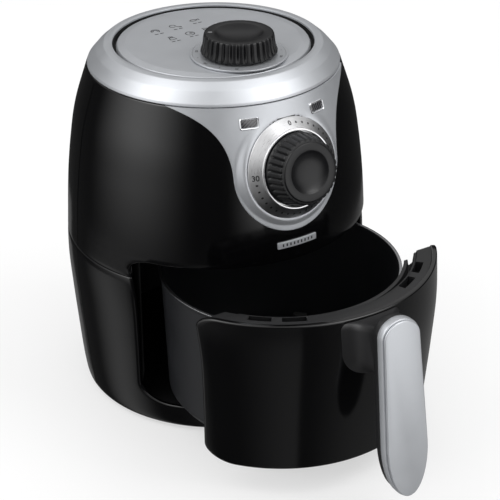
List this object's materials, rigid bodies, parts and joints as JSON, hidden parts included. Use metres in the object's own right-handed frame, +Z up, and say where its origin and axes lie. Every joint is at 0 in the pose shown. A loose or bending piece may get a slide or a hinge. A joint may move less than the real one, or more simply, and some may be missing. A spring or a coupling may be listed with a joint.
{
  "type": "hot-air fryer with pull-out pan",
  "caption": "Compact upright hot-air fryer: round gloss housing, silver top ring and control panel, two knobs, and a front drawer with a pan, a crisper plate and an upright handle.",
  "frame": {"origin": "centre of the whole object's footprint, with the drawer pulled out as stored, on the surface that it stands on", "axes": "+Z up, -Y towards the drawer and its handle, +X to the right of someone who faces the drawer"},
  "size_m": [0.212, 0.3422, 0.2686],
  "materials": {
    "gloss_black_plastic": "high gloss moulded, black",
    "satin_black_plastic": "satin moulded, black",
    "knob_plastic": "semi-gloss moulded, black",
    "silver_paint": "satin metallic silver paint",
    "brushed_aluminium": "fine circular brushing",
    "bright_trim": "bright plated",
    "smoked_lens": "dark translucent, polished",
    "non_stick_coating": "satin charcoal non-stick",
    "sheet_steel": "mill finish",
    "rubber": "matte",
    "phenolic": "dull moulded"
  },
  "bodies": {
    "root": {"badge_plate": "silver_paint", "base_housing": "gloss_black_plastic", "bottom_cover": "satin_black_plastic", "bottom_screw_1": "sheet_steel", "bottom_screw_2": "sheet_steel", "bottom_screw_3": "sheet_steel", "bottom_screw_4": "sheet_steel", "cavity_liner": "sheet_steel", "chamber_roof": "sheet_steel", "control_panel": "silver_paint", "cord_gland": "rubber", "drawer_switch": "phenolic", "fan_motor": "sheet_steel", "foot_1": "rubber", "foot_2": "rubber", "foot_3": "rubber", "foot_4": "rubber", "heating_element": "sheet_steel", "indicator_bezel_left": "bright_trim", "indicator_bezel_right": "bright_trim", "indicator_lamp_left": "phenolic", "indicator_lamp_right": "phenolic", "indicator_lens_left": "smoked_lens", "indicator_lens_right": "smoked_lens", "motor_bracket": "sheet_steel", "rear_vent_grille": "satin_black_plastic", "temperature_dial": "silver_paint", "terminal_block": "phenolic", "thermal_fuse": "sheet_steel", "thermostat": "sheet_steel", "timer_bell": "sheet_steel", "timer_dial": "brushed_aluminium", "timer_mechanism": "phenolic", "top_lid": "silver_paint", "top_ring": "silver_paint", "upper_housing": "gloss_black_plastic"},
    "drawer": {"front_panel": "gloss_black_plastic", "pan": "non_stick_coating", "pan_bracket": "satin_black_plastic", "handle_body": "satin_black_plastic", "handle_cover": "silver_paint", "handle_screw_1": "sheet_steel", "handle_screw_2": "sheet_steel", "pan_rivet_left": "sheet_steel", "pan_rivet_right": "sheet_steel"},
    "tray": {"crisper_plate": "non_stick_coating", "tray_bumper_1": "rubber", "tray_bumper_2": "rubber", "tray_bumper_3": "rubber", "tray_bumper_4": "rubber"},
    "temperature_control": {"temperature_knob": "knob_plastic", "thermostat_spindle": "sheet_steel"},
    "timer_control": {"timer_knob": "knob_plastic", "timer_spindle": "sheet_steel"},
    "fan_rotor": {"motor_shaft": "sheet_steel", "convection_fan": "sheet_steel", "cooling_fan": "satin_black_plastic"}
  },
  "joints": [
    {"name": "drawer_slide", "type": "slide", "parent": "root", "child": "drawer", "axis": [0, -1, 0], "range_m": [-0.084, 0.11]},
    {"name": "tray_lift", "type": "slide", "parent": "drawer", "child": "tray", "axis": [0, 0, 1], "range_m": [0, 0.085]},
    {"name": "temperature_turn", "type": "hinge", "parent": "root", "child": "temperature_control", "pos_m": [0, 0.03213, 0.2554], "axis": [0, 0, 1], "range_deg": [-280, 0]},
    {"name": "timer_turn", "type": "hinge", "parent": "root", "child": "timer_control", "pos_m": [0, -0.03146, 0.1959], "axis": [0, -0.9755, 0.2198], "range_deg": [-270, 0]},
    {"name": "fan_spin", "type": "hinge", "parent": "root", "child": "fan_rotor", "pos_m": [0, 0.06513, 0.18], "axis": [0, 0, 1], "continuous": true}
  ]
}
